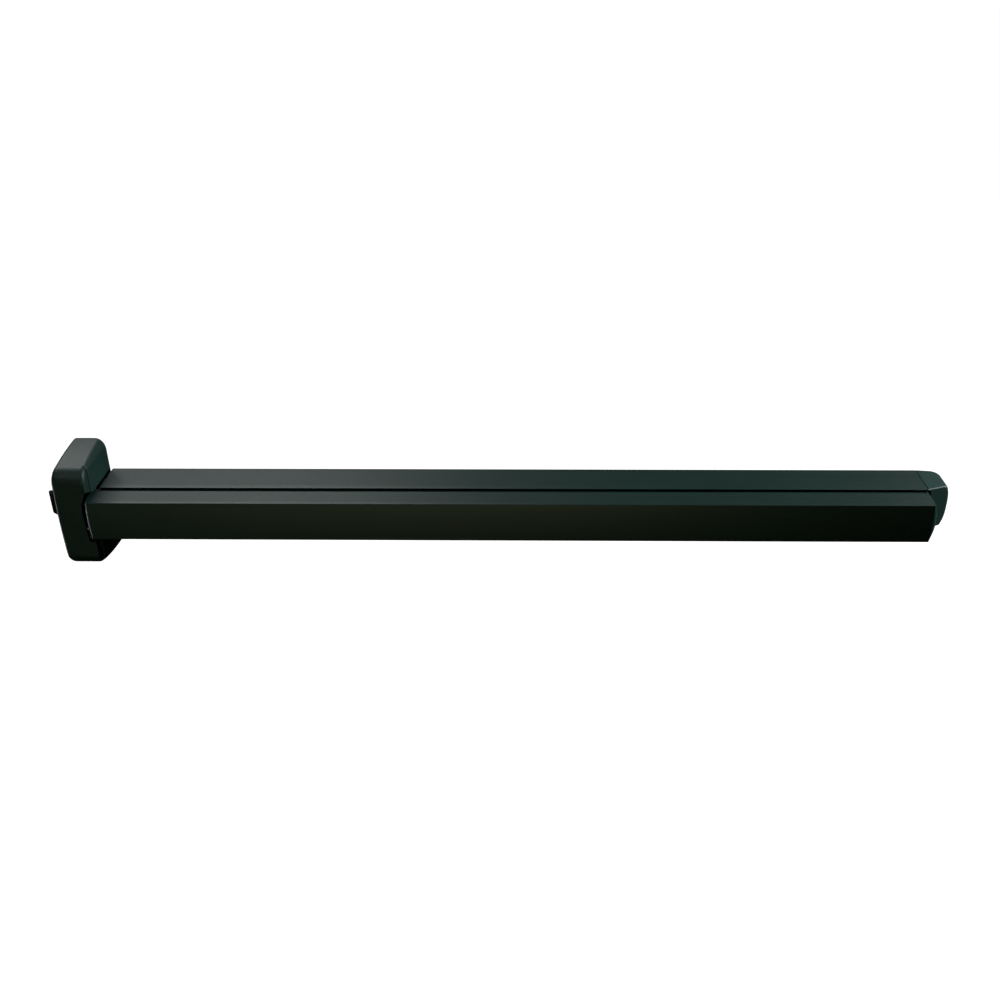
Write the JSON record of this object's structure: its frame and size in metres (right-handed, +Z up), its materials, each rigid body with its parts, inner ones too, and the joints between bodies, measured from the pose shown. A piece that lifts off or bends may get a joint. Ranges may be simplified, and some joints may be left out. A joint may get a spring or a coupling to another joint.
{
  "type": "panic exit bar",
  "caption": "Rim panic exit device: a push bar in a black extruded rail works a swinging latch in a tall head through bell cranks and a link rod.",
  "frame": {"origin": "on the door face, at the middle of the rail in length and in height", "axes": "+X along the bar from the latch head towards the end cap, +Y into the door, +Z up"},
  "size_m": [1.0291, 0.0795, 0.1346],
  "materials": {
    "coated_rail": "black-green anodised extrusion, satin",
    "coated_bar": "black-green anodised extrusion, satin",
    "coated_cover": "black-green powder coat on a die-cast cover",
    "coated_plastic": "moulded black-green plastic",
    "zinc_plate": "zinc-plated pressed steel",
    "zinc_screw": "zinc-plated screw",
    "black_screw": "blackened screw",
    "latch_steel": "blackened cast steel",
    "pin_steel": "turned steel",
    "spring_steel": "drawn spring wire",
    "nylon": "natural nylon",
    "rubber": "moulded black rubber"
  },
  "bodies": {
    "root": {"base_rail": "coated_rail", "head_cover": "coated_cover", "end_cap": "coated_plastic", "head_base_plate": "zinc_plate", "latch_bracket_upper": "zinc_plate", "latch_bracket_lower": "zinc_plate", "latch_pivot_pin": "pin_steel", "latch_pin_clip": "spring_steel", "latch_spring": "spring_steel", "end_bracket": "zinc_plate", "end_cap_screw": "black_screw", "crank_bracket_left": "zinc_plate", "crank_pivot_pin_left": "pin_steel", "crank_pin_clip_left": "spring_steel", "rod_guide_left": "nylon", "guide_screw_left": "zinc_screw", "rubber_stop_left": "rubber", "spring_post_left_upper": "pin_steel", "return_spring_left_upper": "spring_steel", "spring_post_left_lower": "pin_steel", "return_spring_left_lower": "spring_steel", "crank_screw_left_1": "zinc_screw", "crank_screw_left_2": "zinc_screw", "crank_bracket_right": "zinc_plate", "crank_pivot_pin_right": "pin_steel", "crank_pin_clip_right": "spring_steel", "rod_guide_right": "nylon", "guide_screw_right": "zinc_screw", "rubber_stop_right": "rubber", "spring_post_right_upper": "pin_steel", "return_spring_right_upper": "spring_steel", "spring_post_right_lower": "pin_steel", "return_spring_right_lower": "spring_steel", "crank_screw_right_1": "zinc_screw", "crank_screw_right_2": "zinc_screw", "rail_screw_head_upper": "zinc_screw", "rail_screw_end_upper": "zinc_screw", "latch_screw_upper": "zinc_screw", "cover_screw_upper": "black_screw", "rail_screw_head_lower": "zinc_screw", "rail_screw_end_lower": "zinc_screw", "latch_screw_lower": "zinc_screw", "cover_screw_lower": "black_screw"},
    "bar": {"push_bar": "coated_bar", "bar_cap_left": "coated_plastic", "bar_cap_right": "coated_plastic", "bar_bracket_left": "zinc_plate", "bar_bracket_right": "zinc_plate"},
    "crank_left": {"bell_crank_left": "zinc_plate", "crank_bar_pin_left": "pin_steel", "crank_rod_pin_left": "pin_steel"},
    "crank_right": {"bell_crank_right": "zinc_plate", "crank_bar_pin_right": "pin_steel", "crank_rod_pin_right": "pin_steel"},
    "rod": {"link_rod": "zinc_plate"},
    "latch": {"latch_bolt": "latch_steel", "latch_rod_pin": "pin_steel"}
  },
  "joints": [
    {"name": "bar_push", "type": "slide", "parent": "root", "child": "bar", "axis": [0, 1, 0], "range_m": [0, 0.013], "stiffness_N_per_m": 1600, "springref_m": -0.02, "deforming": ["return_spring_left_upper", "return_spring_left_lower", "return_spring_right_upper", "return_spring_right_lower"]},
    {"name": "crank_left_turn", "type": "hinge", "parent": "root", "child": "crank_left", "pos_m": [-0.3, -0.038, 0], "axis": [0, 0, 1], "range_deg": [-31.1, 0]},
    {"name": "crank_right_turn", "type": "hinge", "parent": "root", "child": "crank_right", "pos_m": [0.3, -0.038, 0], "axis": [0, 0, 1], "range_deg": [-31.1, 0]},
    {"name": "rod_slide", "type": "slide", "parent": "root", "child": "rod", "axis": [1, 0, 0], "range_m": [0, 0.0092]},
    {"name": "latch_swing", "type": "hinge", "parent": "root", "child": "latch", "pos_m": [-0.494, -0.0095, 0], "axis": [0, 0, 1], "range_deg": [0, 44]}
  ],
  "couplings": [
    {"joint": "crank_left_turn", "follows": "bar_push", "rad_per_m": -41.66},
    {"joint": "crank_right_turn", "follows": "bar_push", "rad_per_m": -41.66},
    {"joint": "rod_slide", "follows": "bar_push", "ratio": 0.69959},
    {"joint": "latch_swing", "follows": "bar_push", "rad_per_m": 58.762}
  ]
}
